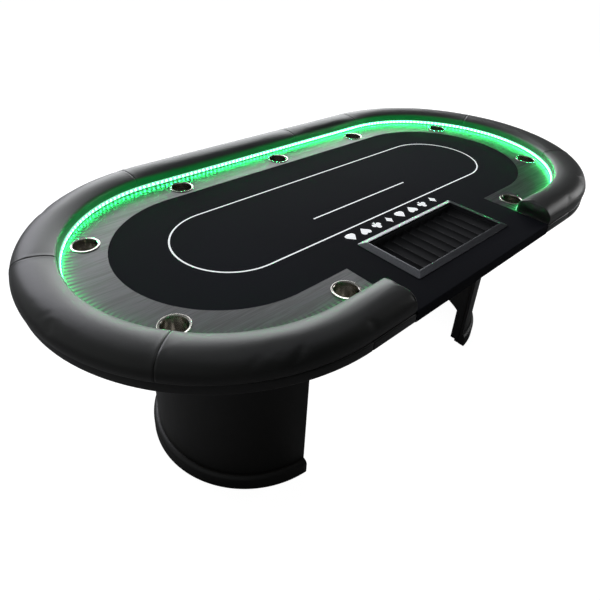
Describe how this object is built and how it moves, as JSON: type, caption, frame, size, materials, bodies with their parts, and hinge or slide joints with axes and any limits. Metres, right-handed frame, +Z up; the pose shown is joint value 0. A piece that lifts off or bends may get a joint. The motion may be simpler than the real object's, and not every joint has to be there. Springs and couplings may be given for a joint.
{
  "type": "poker table",
  "caption": "Oval casino poker table with a dealer's chip tray, a padded armrest, a lit racetrack, drop-in steel cup holders and two hollow D-plan pedestals.",
  "frame": {"origin": "on the floor, under the middle of the table", "axes": "+Z up, X along the table, the dealer sits on the -Y side and faces +Y"},
  "size_m": [2.14, 1.112, 0.79],
  "materials": {
    "mdf": "raw board",
    "timber": "planed",
    "cloth": "matt foam-backed speed cloth",
    "laminate": "semi-gloss black woodgrain laminate",
    "vinyl": "semi-gloss grained black vinyl",
    "black_board": "black satin lacquer",
    "zinc_steel": "zinc plated",
    "brass": "as machined",
    "led_silicone": "lit green light strip in clear silicone",
    "black_plastic": "moulded",
    "nickel": "nickel plated",
    "satin_aluminium": "satin anodised dark grey",
    "stainless": "spun and polished stainless steel"
  },
  "bodies": {
    "table": {"base_board_left": "mdf", "base_board_middle": "mdf", "base_board_right": "mdf", "cloth_board": "mdf", "pedestal_plate_left": "mdf", "pedestal_plate_right": "mdf", "rail_core": "timber", "bearer_front": "timber", "bearer_back": "timber", "playing_cloth": "cloth", "racetrack_left": "laminate", "racetrack_right": "laminate", "racetrack_back": "laminate", "racetrack_front_left": "laminate", "racetrack_front_right": "laminate", "rail_pad_front_left": "vinyl", "rail_pad_left_end": "vinyl", "rail_pad_back_left": "vinyl", "rail_pad_back_middle": "vinyl", "rail_pad_back_right": "vinyl", "rail_pad_right_back": "vinyl", "rail_pad_right_end": "vinyl", "rail_pad_front_right": "vinyl", "skirt_left": "vinyl", "skirt_right": "vinyl", "skirt_back": "vinyl", "skirt_front_left": "vinyl", "skirt_front_right": "vinyl", "dealer_apron": "black_board", "pedestal_posts_left": "black_board", "pedestal_posts_right": "black_board", "pedestal_shell_left": "black_board", "pedestal_shell_right": "black_board", "pedestal_panel_left": "black_board", "pedestal_panel_right": "black_board", "pedestal_plinth_left": "black_board", "pedestal_plinth_right": "black_board", "rail_bolts": "zinc_steel", "pedestal_bolts_left": "zinc_steel", "pedestal_bolts_right": "zinc_steel", "threaded_inserts": "brass", "led_strip": "led_silicone", "led_lead": "black_plastic", "led_controller": "black_plastic", "pedestal_glides_left": "black_plastic", "pedestal_glides_right": "black_plastic", "dc_inlet": "nickel"},
    "chip_tray": {"tray_bezel": "satin_aluminium", "tray_tub": "black_plastic"},
    "cup_front_left_body": {"cup_front_left": "stainless"},
    "cup_front_right_body": {"cup_front_right": "stainless"},
    "cup_near_left_body": {"cup_near_left": "stainless"},
    "cup_near_right_body": {"cup_near_right": "stainless"},
    "cup_far_left_body": {"cup_far_left": "stainless"},
    "cup_far_right_body": {"cup_far_right": "stainless"},
    "cup_back_left_body": {"cup_back_left": "stainless"},
    "cup_back_right_body": {"cup_back_right": "stainless"},
    "cup_back_middle_body": {"cup_back_middle": "stainless"}
  },
  "joints": [
    {"name": "chip_tray_lift", "type": "slide", "parent": "table", "child": "chip_tray", "axis": [0, 0, 1], "range_m": [0, 0.06]},
    {"name": "cup_front_left_lift", "type": "slide", "parent": "table", "child": "cup_front_left_body", "axis": [0, 0, 1], "range_m": [0, 0.08]},
    {"name": "cup_front_right_lift", "type": "slide", "parent": "table", "child": "cup_front_right_body", "axis": [0, 0, 1], "range_m": [0, 0.08]},
    {"name": "cup_near_left_lift", "type": "slide", "parent": "table", "child": "cup_near_left_body", "axis": [0, 0, 1], "range_m": [0, 0.08]},
    {"name": "cup_near_right_lift", "type": "slide", "parent": "table", "child": "cup_near_right_body", "axis": [0, 0, 1], "range_m": [0, 0.08]},
    {"name": "cup_far_left_lift", "type": "slide", "parent": "table", "child": "cup_far_left_body", "axis": [0, 0, 1], "range_m": [0, 0.08]},
    {"name": "cup_far_right_lift", "type": "slide", "parent": "table", "child": "cup_far_right_body", "axis": [0, 0, 1], "range_m": [0, 0.08]},
    {"name": "cup_back_left_lift", "type": "slide", "parent": "table", "child": "cup_back_left_body", "axis": [0, 0, 1], "range_m": [0, 0.08]},
    {"name": "cup_back_right_lift", "type": "slide", "parent": "table", "child": "cup_back_right_body", "axis": [0, 0, 1], "range_m": [0, 0.08]},
    {"name": "cup_back_middle_lift", "type": "slide", "parent": "table", "child": "cup_back_middle_body", "axis": [0, 0, 1], "range_m": [0, 0.08]}
  ]
}
